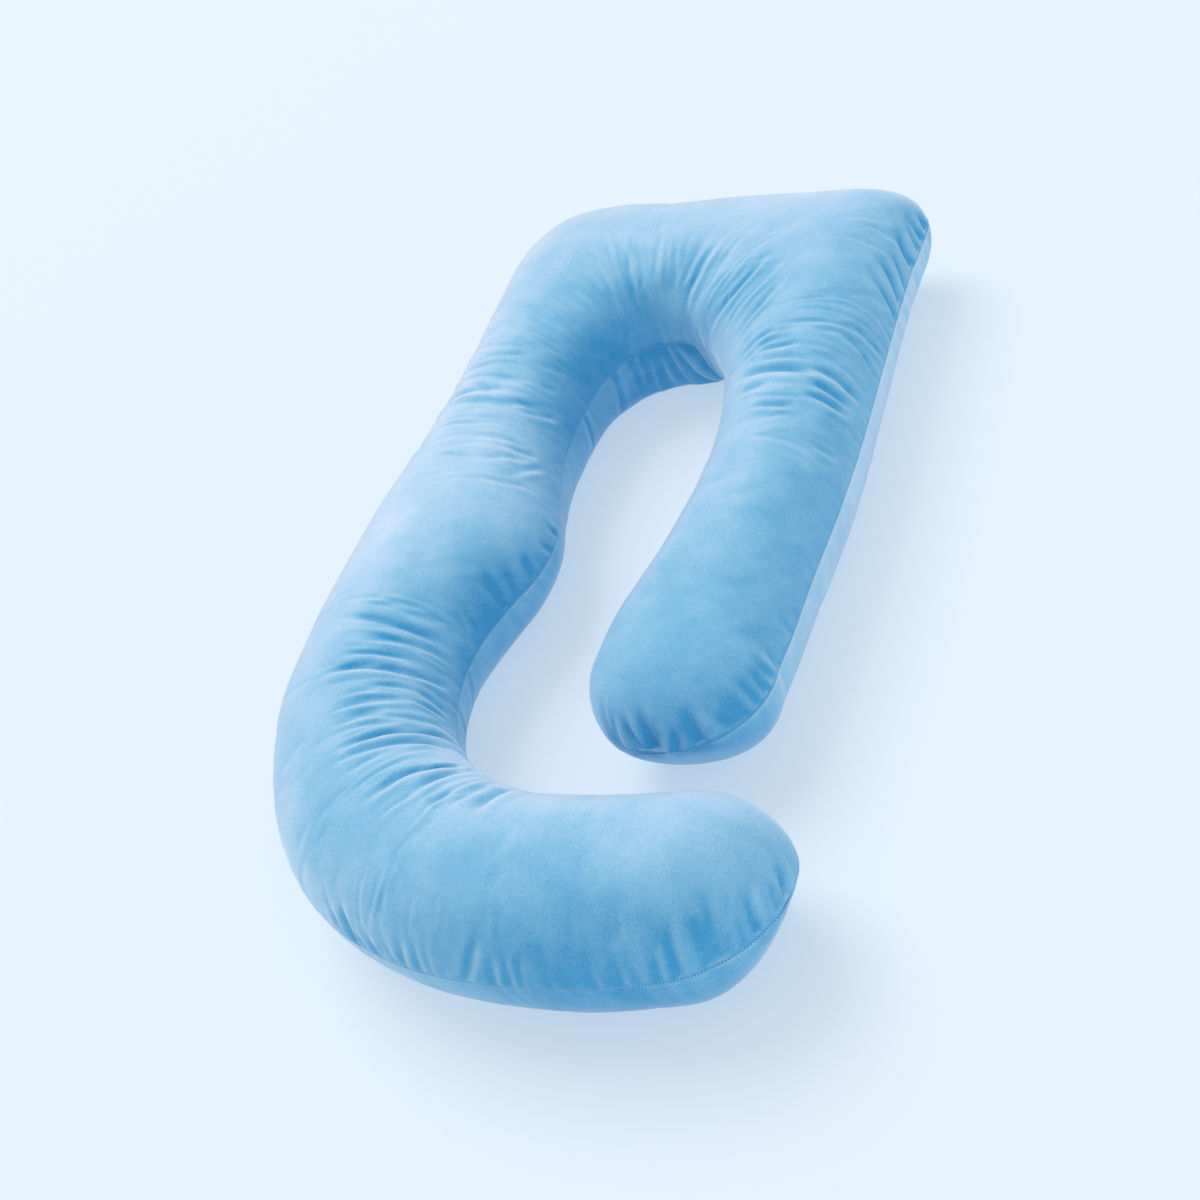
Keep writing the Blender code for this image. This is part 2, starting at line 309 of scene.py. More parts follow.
def filled(skin):
    """The skin with the ripples of the cloth simulation, as an array of the same shape."""
    rows, sides = skin.shape[:2]
    piece = closed_skin("cover_blank", skin)
    chosen_alone(piece)
    start = positions(piece)
    held = set(np.flatnonzero(start[:, 2] < ON_FLOOR).tolist()) | {rows * sides, rows * sides + 1}
    for column in (0, FACE_POINTS):
        held |= set(range(column, rows * sides, sides))
    holding = piece.vertex_groups.new(name="held")
    holding.add(list(range(rows * sides)), SOFT_HOLD, "REPLACE")
    holding.add(sorted(held), 1.0, "REPLACE")
    cloth = piece.modifiers.new("filling", "CLOTH")
    cloth.settings.vertex_group_mass = "held"
    cloth.settings.use_pressure = True
    cloth.settings.uniform_pressure_force = PRESSURE
    cloth.settings.shrink_min = -SPARE_CLOTH
    cloth.settings.bending_stiffness = STIFFNESS
    cloth.settings.effector_weights.gravity = 0
    for number in range(1, LAST_FRAME + 1):
        bpy.context.scene.frame_set(number)
    bpy.ops.object.modifier_apply(modifier=cloth.name)
    bpy.context.scene.frame_set(1)
    move = (positions(piece) - start)[: rows * sides].reshape(skin.shape)
    bpy.data.objects.remove(piece, do_unlink=True)
    move = RIPPLE_SHARE * (move - blurred(move, RIPPLE_STEPS))
    length = np.linalg.norm(move, axis=2, keepdims=True)
    print("ripples, mm: mean %.1f, most %.1f" % (1000 * length.mean(), 1000 * length.max()))
    return skin + move * np.minimum(1, MOST_MOVE / np.maximum(length, 1e-9))


cover = filled(blank)

# %% [markdown]
# ## Twice as many points
#
# A point is put halfway between every two, on a smooth curve through four of them.
# That keeps the rows in order, so each point still knows its rung number and how far round
# it is.

# %% Refine
def halved(points, axis, closed):
    """The array with a new point halfway between every two along one axis."""
    points = np.moveaxis(points, axis, 0)
    if closed:
        before, after, second = (np.roll(points, step, axis=0) for step in (1, -1, -2))
        middle = (9 * (points + after) - before - second) / 16
        both = np.stack([points, middle], axis=1).reshape((-1,) + points.shape[1:])
    else:
        one_before, one_after = 2 * points[:1] - points[1:2], 2 * points[-1:] - points[-2:-1]
        ends = np.concatenate([one_before, points, one_after])
        middle = (9 * (ends[1:-2] + ends[2:-1]) - ends[:-3] - ends[3:]) / 16
        both = np.empty((2 * len(points) - 1,) + points.shape[1:])
        both[0::2], both[1::2] = points, middle
    return np.moveaxis(both, 0, axis)


cover = halved(halved(cover, 0, closed=False), 1, closed=True)
places = np.interp(np.arange(2 * ROWS - 1) / 2, np.arange(ROWS), places)
wide = np.append(arounds, 2.0)
arounds = np.interp(np.arange(2 * len(arounds)) / 2, np.arange(len(wide)), wide)
SEAM_COLUMNS = (0, 2 * FACE_POINTS)
print("fine grid:", cover.shape[:2], "quads:", (cover.shape[0] - 1) * cover.shape[1])

# %% [markdown]
# ## The folds
#
# The big folds are where the photograph has them.
# A simulation would fold the cloth somewhere else, so each one is put in its place one by one.
# Some lie open on the face and fade out at both ends.
# The others start on the face and run into the seam, deepest where the seam gathers them.
# A fold's strength, from 2 to 5, stands for its width and depth.

# %% Open folds
# from_rung, from_across, to_rung, to_across, how far its middle bows out (cm), strength
OPEN_FOLDS = [
    # round the bend
    (23.35, 0.20, 23.75, 0.00, 0.00, 2),
    (23.60, 0.20, 24.05, 0.05, -0.50, 2),
    (24.05, 0.55, 24.35, 0.10, 0.50, 5),
    (24.60, 0.45, 24.55, 0.05, -0.50, 4),
    (24.85, 0.50, 24.85, 0.25, -0.50, 2),
    (25.05, 0.25, 25.00, 0.05, 0.50, 3),
    (25.00, 0.55, 25.15, 0.15, 0.00, 5),
    (25.20, 0.25, 25.25, 0.10, 0.00, 2),
    (25.45, 0.40, 25.40, 0.20, -0.50, 2),
    (25.40, 0.20, 25.55, 0.05, 0.00, 3),
    (25.65, 0.50, 25.60, 0.20, 0.00, 4),
    (25.60, 0.20, 25.75, 0.05, -0.25, 2),
    (25.85, 0.45, 25.90, 0.30, -0.25, 3),
    (26.20, 0.50, 26.10, 0.00, 1.25, 5),
    (26.40, 0.55, 26.60, 0.10, 0.25, 4),
    (27.15, 0.55, 27.15, 0.15, 0.00, 5),
    (27.45, 0.50, 27.10, 0.10, 1.00, 4),
    (27.45, 0.55, 27.50, 0.40, -0.25, 2),
    (27.65, 0.45, 27.70, 0.35, 0.50, 3),
    (27.85, 0.45, 27.65, 0.20, 1.00, 4),
    (28.15, 0.45, 27.90, 0.15, 0.50, 5),
    # across the neck
    (16.85, 0.35, 16.50, 0.20, 0.00, 2),
    (17.60, 0.35, 17.30, 0.20, 0.00, 2),
    (17.90, 0.30, 17.60, 0.15, 0.00, 2),
    (18.05, 0.65, 17.65, 0.55, -0.25, 2),
    (18.25, 0.60, 17.85, 0.50, -0.75, 2),
    (18.30, 0.25, 18.00, 0.15, 0.00, 2),
    (18.40, 0.60, 17.70, 0.30, 0.50, 3),
    (18.70, 0.70, 18.40, 0.50, 0.50, 3),
    (18.75, 0.50, 18.35, 0.30, 0.25, 3),
    (19.00, 0.30, 18.45, 0.10, 0.50, 3),
    (19.35, 0.75, 18.65, 0.35, 0.00, 4),
    (19.35, 0.65, 18.45, 0.15, 2.00, 4),
    (19.60, 0.60, 19.00, 0.25, 0.00, 3),
    (19.90, 0.65, 19.70, 0.40, 0.00, 2),
    (20.00, 0.45, 19.65, 0.20, -0.25, 3),
    (20.40, 0.40, 19.70, 0.15, 0.25, 3),
    (20.50, 0.55, 20.45, 0.40, -0.50, 2),
    (19.95, 0.30, 19.60, 0.15, 0.25, 3),
    (20.65, 0.30, 19.65, 0.10, 0.00, 3),
    (17.50, 0.98, 17.20, 0.62, 0.00, 2),
    (18.45, 0.98, 18.05, 0.62, 0.25, 3),
    (18.95, 0.98, 18.65, 0.65, 0.00, 2),
    (19.60, 0.98, 19.20, 0.65, 0.25, 4),
    (20.40, 0.98, 20.10, 0.62, 0.00, 3),
    # the fan over the arch
    (5.40, 0.50, 5.15, 0.30, 0.25, 3),
    (6.65, 0.50, 5.80, 0.23, -1.25, 3),
    (7.45, 0.50, 6.40, 0.18, -1.75, 3),
    (8.80, 0.47, 7.35, 0.10, -4.00, 4),
    (9.85, 0.50, 7.35, 0.20, -0.50, 2),
    (10.50, 0.50, 7.95, 0.22, 1.00, 2),
    (11.05, 0.47, 9.95, 0.08, -0.50, 3),
    (12.30, 0.47, 10.70, 0.13, -0.50, 2),
    (13.05, 0.52, 11.75, 0.15, -1.25, 2),
    (14.05, 0.46, 13.35, 0.05, -1.25, 3),
    (14.80, 0.35, 14.60, 0.10, -0.50, 2),
    (16.00, 0.40, 15.10, 0.13, -0.75, 2),
    (17.00, 0.37, 16.55, 0.15, 0.00, 2),
    # across the short arm
    (3.45, 0.70, 3.45, 0.90, 0.25, 2),
    (3.85, 0.55, 3.65, 0.75, 0.50, 2),
    (4.05, 0.45, 3.95, 0.65, 0.50, 4),
    (4.15, 0.62, 4.10, 0.90, 0.00, 4),
    (4.40, 0.34, 4.30, 0.50, 0.00, 3),
    (4.35, 0.65, 4.25, 0.90, 0.25, 4),
    (4.75, 0.30, 4.45, 0.70, 0.00, 5),
    (4.60, 0.60, 4.35, 0.97, -0.50, 5),
    (4.80, 0.60, 4.75, 0.80, 0.25, 2),
    (5.05, 0.40, 4.95, 0.60, 0.00, 4),
    (5.20, 0.35, 5.05, 0.58, -0.25, 3),
    (5.10, 0.85, 4.95, 1.00, 0.25, 2),
    (5.25, 0.70, 4.95, 0.95, 0.00, 3),
    (5.45, 0.75, 5.35, 1.00, 1.00, 3),
]
print("open folds:", len(OPEN_FOLDS))

# %% Folds into the seam
# from_rung, from_across, seam_rung, seam (0 inner, 1 outer), bow (cm), strength
SEAM_FOLDS = [
    # below the corner
    (5.95, 0.75, 5.70, 1, 0.75, 2),
    (6.75, 0.72, 6.05, 1, 1.00, 4),
    (6.85, 0.78, 6.35, 1, 0.25, 5),
    (7.25, 0.83, 6.65, 1, 0.75, 4),
    (7.90, 0.85, 7.20, 1, 1.50, 5),
    (8.45, 0.85, 7.75, 1, 1.25, 4),
    (8.55, 0.84, 8.15, 1, 0.75, 5),
    (8.65, 0.88, 8.55, 1, 0.50, 5),
    # at the belly
    (20.85, 0.10, 20.90, 0, 0.50, 3),
    (21.35, 0.10, 21.35, 0, 0.50, 3),
    (21.90, 0.13, 22.15, 0, 0.25, 4),
    (22.25, 0.17, 22.60, 0, 0.25, 3),
    (22.50, 0.23, 22.95, 0, 0.25, 4),
    # round the short arm's end
    (-0.28, 0.26, -0.60, 0, 0.00, 3),
    (-0.45, 0.26, -0.64, 0, 0.00, 4),
    (-0.48, 0.30, -0.82, 0, 0.00, 5),
    (-0.50, 0.40, -0.88, 0, -0.25, 5),
    (-0.62, 0.45, -0.90, 0, -0.25, 5),
    (-0.75, 0.48, -0.95, 0, 0.00, 4),
    (-0.73, 0.60, -0.94, 1, 0.00, 3),
    (-0.55, 0.63, -0.78, 1, 0.25, 5),
    (-0.54, 0.77, -0.57, 1, 0.00, 4),
    (-0.42, 0.76, -0.50, 1, 0.25, 4),
    (-0.36, 0.80, -0.43, 1, 0.25, 4),
    (-0.27, 0.80, -0.33, 1, 0.25, 5),
    (-0.17, 0.83, -0.22, 1, 0.25, 5),
    (-0.08, 0.83, -0.10, 1, 0.50, 4),
    (0.10, 0.87, 0.02, 1, 0.00, 3),
    (0.90, 0.87, 0.95, 1, 0.00, 2),
    # up from the lobe's outer seam
    (27.25, 0.80, 27.40, 1, -0.25, 3),
    (27.43, 0.78, 27.52, 1, -0.25, 4),
    (27.57, 0.87, 27.62, 1, 0.00, 3),
    (27.71, 0.86, 27.75, 1, 0.00, 3),
    (27.89, 0.86, 27.93, 1, 0.00, 2),
    (28.08, 0.82, 28.00, 1, 0.00, 3),
    (28.18, 0.82, 28.14, 1, 0.00, 3),
    (28.28, 0.78, 28.22, 1, 0.00, 2),
    (28.72, 0.74, 28.46, 1, -0.25, 3),
    (28.76, 0.85, 28.68, 1, 0.00, 3),
    (28.85, 0.83, 28.80, 1, 0.00, 3),
    (28.95, 0.85, 28.88, 1, 0.00, 2),
    (29.46, 0.86, 29.46, 1, 0.00, 2),
    (29.70, 0.85, 29.66, 1, 0.00, 3),
    (30.08, 0.82, 30.06, 1, 0.00, 3),
    (30.13, 0.76, 30.16, 1, -0.25, 4),
    (30.27, 0.70, 30.32, 1, 0.00, 4),
    (30.35, 0.66, 30.38, 1, 0.25, 5),
    (30.45, 0.74, 30.46, 1, 0.25, 4),
    (30.53, 0.75, 30.54, 1, 0.25, 3),
    (30.57, 0.66, 30.63, 1, 0.25, 4),
    (30.66, 0.63, 30.72, 1, 0.25, 2),
    (30.70, 0.57, 30.80, 1, 0.25, 4),
    (30.74, 0.47, 30.88, 1, 0.00, 5),
]
print("folds into the seam:", len(SEAM_FOLDS))

# %% [markdown]
# ## The shape of a fold
#
# An open fold is a trough with a gentle side and a steeper one.
# The steeper side ends in a raised lip, because the cloth has slumped that way a little, and a
# fainter fold runs along on both sides.
# A fold that runs into the seam is a round trough between two raised shoulders.
# Each fold follows a smooth curve that is laid onto the cloth, and fades towards its open ends.

# %% Helpers for folds
# half width and depth of each strength, cm
STRENGTHS = {2: (0.50, 0.14), 3: (0.60, 0.25), 4: (0.70, 0.39), 5: (0.85, 0.56)}
POINTS_PER_FOLD = 14
FOLD_REACH = 5  # half widths: farther away a fold changes nothing
FADE_SHARE, SEAM_FADE_SHARE = 0.35, 0.7  # how much of a fold's length each fading end takes
LIP_SIDE = Vector((0.6, -0.8))  # the side of the lip, as amounts to the right and up in the picture
GENTLE_SIDE, STEEP_SIDE = 1.15, 0.8  # how wide the trough is on each side, in half widths
# the other parts: centre, half width and depth, in the fold's own half widths and depths
LIP = (1.6, 0.85, -0.38)
UPPER_ECHO = (-2.9, 0.9, 0.3)
LOWER_ECHO = (3.4, 0.85, 0.2)
LEFT_SHOULDER = (-1.8, 0.8, -0.15)
RIGHT_SHOULDER = (1.6, 0.8, -0.45)


def outward(skin):
    """The direction out of the cloth at each point."""
    along = np.gradient(skin, axis=0)
    round_it = np.roll(skin, -1, axis=1) - np.roll(skin, 1, axis=1)
    normal = np.cross(round_it, along)
    return normal / np.maximum(np.linalg.norm(normal, axis=2, keepdims=True), 1e-12)


def on_cloth(skin, rung, around):
    """The points of the cloth at rung numbers and shares of the way round."""
    row = np.clip(np.interp(rung, places, np.arange(len(places))), 0, len(places) - 1.001)
    column = np.interp(around, np.append(arounds, 2.0), np.arange(len(arounds) + 1))
    top, left = row.astype(int), column.astype(int)
    down, over = (row - top)[:, None], (column - left)[:, None]
    left, next_left = left % len(arounds), (left + 1) % len(arounds)
    near = skin[top, left] * (1 - over) + skin[top, next_left] * over
    far = skin[top + 1, left] * (1 - over) + skin[top + 1, next_left] * over
    return near * (1 - down) + far * down


def smooth_step(share):
    """0 up to 1, level at both ends."""
    share = np.clip(share, 0, 1)
    return share * share * (3 - 2 * share)


def bell(gap, centre, half_width, height):
    """A round bump, or with a negative height a round dip."""
    return height * np.exp(-(((gap - centre) / half_width) ** 2))


def fold_depth(gap, at_seam):
    """How deep a fold is at a distance from its line, in its own half widths."""
    if at_seam:
        return bell(gap, 0, 1, 1) + bell(gap, *LEFT_SHOULDER) + bell(gap, *RIGHT_SHOULDER)
    trough = np.exp(-((gap / np.where(gap < 0, GENTLE_SIDE, STEEP_SIDE)) ** 2))
    return trough + bell(gap, *LIP) + bell(gap, *UPPER_ECHO) + bell(gap, *LOWER_ECHO)


def fold_line(tree, skin, normals, start, end, bow):
    """Points on the cloth along a smooth curve between two places of it."""
    points = skin.reshape(-1, 3)
    rungs, acrosses = np.array([start[0], end[0]]), np.array([start[1], end[1]])
    first, last = on_cloth(skin, rungs, acrosses)
    middle = (first + last) / 2
    sideways = np.cross(last - first, normals[tree.find(middle)[1]])
    # the curve itself bows out half as far as the point that bends it
    bend = middle + 2 * bow * CM * sideways / np.linalg.norm(sideways)
    line = []
    for share in np.linspace(0, 1, POINTS_PER_FOLD):
        curve = (1 - share) ** 2 * first + 2 * share * (1 - share) * bend + share**2 * last
        nearest = tree.find(curve)[1]
        height = (points[nearest] - curve) @ normals[nearest]
        line.append(curve + height * normals[nearest])
    return np.array(line)


def draw_in(draw, points, line, half_width, depth, at_seam):
    """Adds one fold to the amount that each point is drawn in."""
    reach = FOLD_REACH * half_width
    inside = (points > line.min(axis=0) - reach) & (points < line.max(axis=0) + reach)
    close = np.flatnonzero(inside.all(axis=1))
    starts, steps = line[:-1], np.diff(line, axis=0)
    lengths = np.linalg.norm(steps, axis=1)
    run = np.concatenate([[0], np.cumsum(lengths)])
    offset = points[close, None] - starts
    share = np.clip((offset * steps).sum(axis=2) / np.maximum(lengths**2, 1e-12), 0, 1)
    away = offset - share[..., None] * steps
    gap = np.linalg.norm(away, axis=2)
    nearest = gap.argmin(axis=1)
    pick = np.arange(len(close))
    away, step, gap = away[pick, nearest], steps[nearest], gap[pick, nearest]
    # which side of the line a point is on, as the picture shows it
    across_picture = np.stack([step @ np.array(up), -step @ np.array(right)], axis=1)
    chord = line[-1] - line[0]
    lip_is_right = LIP_SIDE @ Vector((up @ Vector(chord), -right @ Vector(chord))) > 0
    away = np.stack([away @ np.array(right), away @ np.array(up)], axis=1)
    is_right = (away * across_picture).sum(axis=1) > 0
    gap = gap * np.where(is_right == lip_is_right, 1, -1) / half_width
    along = (run[nearest] + share[pick, nearest] * lengths[nearest]) / run[-1]
    if at_seam:
        fade = smooth_step(along / SEAM_FADE_SHARE)
    else:
        fade = smooth_step(along / FADE_SHARE) * smooth_step((1 - along) / FADE_SHARE)
    draw[close] += depth * fade * fold_depth(gap, at_seam)


# %% Press the big folds in
BACK_SHARE = 0.2  # how much of a fold goes on over the seam onto the back

points = cover.reshape(-1, 3)
normals = outward(cover).reshape(-1, 3)
tree = kdtree.KDTree(len(points))
for number, point in enumerate(points):
    tree.insert(point, number)
tree.balance()
on_back = points[:, 2] < SEAM_HEIGHT * CM
# the back is mirrored up to the face here, so that a fold goes on over the seam
over_face = np.where(on_back[:, None], points * [1, 1, -1] + [0, 0, 2 * SEAM_HEIGHT * CM], points)
draw = np.zeros(len(points))
for folds, at_seam in ((OPEN_FOLDS, False), (SEAM_FOLDS, True)):
    for from_rung, from_across, to_rung, to_across, bow, strength in folds:
        line = fold_line(tree, cover, normals, (from_rung, from_across), (to_rung, to_across), bow)
        half_width, depth = STRENGTHS[strength]
        draw_in(draw, over_face, line, half_width * CM, depth * CM, at_seam)
print("folds:", len(OPEN_FOLDS) + len(SEAM_FOLDS), "deepest, mm:", round(1000 * draw.max(), 1))

# %% [markdown]
# ## Fine folds
#
# Thin faint folds fill the places where the cloth is bunched.
# There are hundreds of them and no two are alike, so a random generator lays them out within
# bands that are listed.
# It is seeded, so that each run makes the same pillow.

# %% Fine folds between the big ones
# from_rung, to_rung, from_across, to_across, rungs further on at to_across, how many, depth cm
FINE_FOLDS = [
    (23.2, 24.6, 0.60, 0.05, 0.35, 16, 0.09),
    (24.6, 26.2, 0.60, 0.05, 0.10, 20, 0.10),
    (26.2, 27.9, 0.60, 0.05, -0.25, 20, 0.10),
    (18.2, 21.4, 0.75, 0.05, -1.00, 40, 0.09),
    (16.0, 18.2, 0.55, 0.10, -0.50, 16, 0.07),
    (13.2, 16.0, 0.50, 0.08, -0.80, 24, 0.07),
    (10.8, 13.2, 0.50, 0.10, -1.30, 16, 0.06),
    (9.0, 10.8, 0.50, 0.20, -2.20, 8, 0.06),
    (7.2, 9.0, 0.50, 0.12, -1.20, 10, 0.07),
    (5.2, 7.2, 0.50, 0.20, -0.70, 12, 0.07),
    (3.3, 6.0, 0.35, 0.97, -0.30, 34, 0.09),
    (6.0, 8.3, 0.60, 0.99, -0.70, 20, 0.08),
    (27.2, 30.6, 0.65, 0.98, 0.00, 26, 0.06),
]
FINE_HALF_WIDTH = 0.4 * CM
FINE_LENGTHS = (0.35, 0.9)  # as shares of the band between from_across and to_across
FINE_WIDTHS, FINE_DEPTHS = (0.8, 1.4), (0.3, 1.3)  # least and most, as shares of the ones above
START_SPREAD, SLANT_SPREAD = 0.04, 0.05  # rungs
BOW_SPREAD = 0.3  # cm
chance = np.random.default_rng(11)

for from_rung, to_rung, from_across, to_across, further_on, count, depth in FINE_FOLDS:
    for start in np.linspace(from_rung, to_rung, count) + chance.normal(0, START_SPREAD, count):
        length = chance.uniform(*FINE_LENGTHS)
        begin = chance.uniform(0, 1 - length)
        ends = []
        for share in (begin, begin + length):
            rung = start + (further_on + chance.normal(0, SLANT_SPREAD)) * share
            ends.append((rung, from_across + (to_across - from_across) * share))
        line = fold_line(tree, cover, normals, *ends, chance.normal(0, BOW_SPREAD))
        half_width = FINE_HALF_WIDTH * chance.uniform(*FINE_WIDTHS)
        deepest = depth * CM * chance.uniform(*FINE_DEPTHS)
        draw_in(draw, over_face, line, half_width, deepest, at_seam=False)
print("fine folds:", sum(row[5] for row in FINE_FOLDS))

# %% [markdown]
# ## Small puckers
#
# Between the big folds the seam gathers the cloth into many small puckers.
# They follow one another along the seam at uneven steps, each with its own length and depth.
# On the back every fold is faint, and it ends before the cloth comes to lie on the floor.

# %% Puckers along the seam
# from_rung, to_rung, seam (0 inner, 1 outer), apart cm, reach (share of the way round), depth cm
PUCKERS = [
    (-0.9, 4.0, 1, 3.6, 0.07, 0.03),
    (4.0, 9.5, 1, 2.6, 0.08, 0.05),
    (9.5, 15.0, 1, 3.0, 0.09, 0.04),
    (15.0, 26.0, 1, 2.6, 0.10, 0.05),
    (26.0, 30.9, 1, 2.4, 0.12, 0.04),
    (-0.9, 4.0, 0, 2.8, 0.08, 0.04),
    (4.0, 20.0, 0, 2.8, 0.09, 0.04),
    (20.0, 27.5, 0, 2.8, 0.08, 0.04),
    (27.5, 30.9, 0, 2.6, 0.10, 0.04),
]
PUCKER_HALF_WIDTH = 0.45 * CM
PUCKER_SPREAD = 0.06  # rungs
PUCKER_REACHES, PUCKER_WIDTHS = (0.5, 1.5), (0.8, 1.3)  # least and most, as shares of the above
PUCKER_DEPTHS, PUCKER_STEPS = (0.4, 1.4), (0.6, 1.5)
SEAM_READINGS = 400  # places at which a stretch of seam is measured
FLAT_BELOW = 2.5 * CM  # from here down to the floor the back's folds fade away

pucker_count = 0
for from_rung, to_rung, seam, apart, reach, depth in PUCKERS:
    rung = np.linspace(from_rung, to_rung, SEAM_READINGS)
    line = on_cloth(cover, rung, np.full(SEAM_READINGS, float(seam)))
    run = np.concatenate([[0], np.cumsum(np.linalg.norm(np.diff(line, axis=0), axis=1))]) / CM
    at = chance.uniform(0, apart)
    while at < run[-1]:
        start = float(np.interp(at, run, rung))
        far_rung = start + chance.normal(0, PUCKER_SPREAD)
        far = (far_rung, abs(seam - reach * chance.uniform(*PUCKER_REACHES)))
        line = fold_line(tree, cover, normals, far, (start, seam), 0)
        half_width = PUCKER_HALF_WIDTH * chance.uniform(*PUCKER_WIDTHS)
        deepest = depth * CM * chance.uniform(*PUCKER_DEPTHS)
        draw_in(draw, over_face, line, half_width, deepest, at_seam=True)
        at += apart * chance.uniform(*PUCKER_STEPS)
        pucker_count += 1
off_floor = np.clip(points[:, 2] / FLAT_BELOW, 0, 1)
draw = np.where(on_back, draw * off_floor * BACK_SHARE, draw)
print("small puckers:", pucker_count)

# %% [markdown]
# ## Folds on the back
#
# The back panel shows under the arch, where it hangs in a few folds of its own from the seam.
# They are drawn with the same helpers, on the back alone.

# %% Folds that only the back has
# seam_rung, seam (2 is the inner one, met from the back), floor_rung, down_to_across, strength
BACK_FOLDS = [
    (10.2, 2, 9.5, 1.78, 4),
    (10.8, 2, 9.7, 1.70, 5),
    (11.3, 2, 10.1, 1.68, 5),
    (12.0, 2, 11.4, 1.72, 3),
    (12.9, 2, 12.6, 1.68, 4),
    (13.6, 2, 13.8, 1.68, 5),
    (14.2, 2, 14.7, 1.68, 5),
    (15.0, 2, 15.4, 1.70, 4),
    (16.1, 2, 16.6, 1.70, 4),
    (17.8, 2, 18.0, 1.78, 3),
    (24.4, 2, 24.7, 1.80, 2),
    (25.2, 2, 25.4, 1.80, 2),
]
back_draw = np.zeros(len(points))
for seam_rung, seam, floor_rung, down_to_across, strength in BACK_FOLDS:
    line = fold_line(tree, cover, normals, (floor_rung, down_to_across), (seam_rung, seam), 0)
    half_width, depth = STRENGTHS[strength]
    draw_in(back_draw, points, line, half_width * CM, depth * CM, at_seam=True)
draw = (draw + np.where(on_back, back_draw * off_floor, 0)).reshape(cover.shape[:2])
print("folds on the back:", len(BACK_FOLDS))

# %% [markdown]
# ## The seam
#
# The stitching pulls both panels in, in a narrow valley.
# The valley is pressed into the same mesh as the folds, so that the two run into each other as
# they do in real cloth.

# %% Seam valley
SEAM_DEPTH, SEAM_HALF_WIDTH = 0.09 * CM, 0.28 * CM
HELD_SHARE, HELD_HALF_WIDTH = 0.75, 0.4 * CM  # the sewn edge is stiff, so folds are shallow there

gaps = [np.linalg.norm(cover - cover[:, column : column + 1], axis=2) for column in SEAM_COLUMNS]
seam_gap = np.min(gaps, axis=0)
beside_seam = np.exp(-((seam_gap / SEAM_HALF_WIDTH) ** 2))
draw *= 1 - HELD_SHARE * np.exp(-((seam_gap / HELD_HALF_WIDTH) ** 2))
drawn_in = draw + SEAM_DEPTH * beside_seam
cover = cover - outward(cover) * drawn_in[..., None]
cover[..., 2] = np.maximum(cover[..., 2], 0)
print("drawn in, mm: most", round(1000 * drawn_in.max(), 1))

velour_cover = closed_skin("velour_cover", cover)
chosen_alone(velour_cover)
bpy.ops.object.shade_smooth()

# %% [markdown]
# ## Painted light and shade in the pile's colour
#
# Each point's colour is painted paler where the cloth turns up and to the left in the picture,
# towards the softbox, and deeper blue where it turns away: this is painted light and shade.
# The broad turn of the pillow gets a little of it and the folds get more.
# The troughs are painted deeper blue as painted shade, and the ridges paler as painted highlight.
# Patches that two tables give, one for each panel, add more painted light and shade, together
# with the pile's own tone where it has been brushed about.

# %% Patches of painted light and shade, mixed with the pile's own tone
# these are painted light and shade along the seams: paler painted rims on the face, and painted shade
# on the back beside the inner seam
# how much paler each panel is beside the inner seam, on the crown and beside the outer seam
CROWN_AT = (0, 0.45, 1)
FACE_ACROSS, BACK_ACROSS = (0.15, 0.02, 0.25), (-0.12, -0.02, 0.08)

# each patch is painted light and shade, mixed with the pile's own brushed tone
# rung, share of the way to the outer seam, reach in rungs, reach as a share, how much paler
FACE_PATCHES = [
    (-1.3, 0.25, 0.7, 0.45, 0.26),  # the short arm's tip
    (0.0, 0.60, 1.8, 0.60, -0.22),
    (4.0, 0.70, 2.5, 0.25, -0.12),
    (4.2, 0.10, 1.5, 0.15, 0.12),
    (6.8, 0.40, 1.5, 0.50, -0.14),  # below the corner
    (11.0, 0.60, 1.6, 0.80, 0.16),  # over the arch
    (11.0, 0.25, 3.2, 0.16, -0.20),
    (16.8, 0.75, 3.5, 0.25, 0.20),  # the shoulder and the neck, outside and inside
    (17.0, 0.15, 2.0, 0.25, -0.18),
    (20.2, 0.30, 1.2, 0.30, 0.17),
    (22.2, 0.60, 1.5, 0.25, 0.15),  # the belly
    (23.3, 0.00, 1.6, 0.30, -0.22),
    (27.2, 0.55, 2.0, 0.20, -0.22),  # the lobe's crown
    (27.9, 0.22, 1.4, 0.18, 0.32),
    (26.3, 0.95, 1.3, 0.20, 0.12),
    (29.4, 1.00, 1.1, 0.40, -0.28),
    (31.5, 0.40, 1.0, 0.50, 0.22),  # its tip
]
# on the back: painted shade at the short arm's tip, on the wall under the arch and below the lobe's
# outer seam, and a painted highlight on the outer wall of the short arm
BACK_PATCHES = [
    (-1.5, 1.00, 1.2, 0.60, -0.45),  # the short arm's tip
    (4.5, 1.00, 4.0, 0.60, 0.20),  # the outer wall of the short arm
    (13.2, 0.00, 4.0, 0.60, -0.32),  # the wall under the arch
    (27.3, 0.50, 1.0, 1.00, 0.13),
    (29.4, 1.00, 1.2, 0.60, -0.55),  # below the lobe's outer seam
]


def painted_light_and_pile_tone(paler_across, patches):
    """How much paler each point of the cover is painted: painted light and shade, with the pile's own
    tone.
    """
    to_outer = 1 - np.abs(1 - arounds)
    paler = np.interp(to_outer, CROWN_AT, paler_across)[None]
    for rung, across, rungs_reach, across_reach, by in patches:
        along = np.exp(-(((places - rung) / rungs_reach) ** 2))
        paler = paler + by * along[:, None] * np.exp(-(((to_outer - across) / across_reach) ** 2))
    return paler


print("brushed patches:", len(FACE_PATCHES), "on the face,", len(BACK_PATCHES), "on the back")

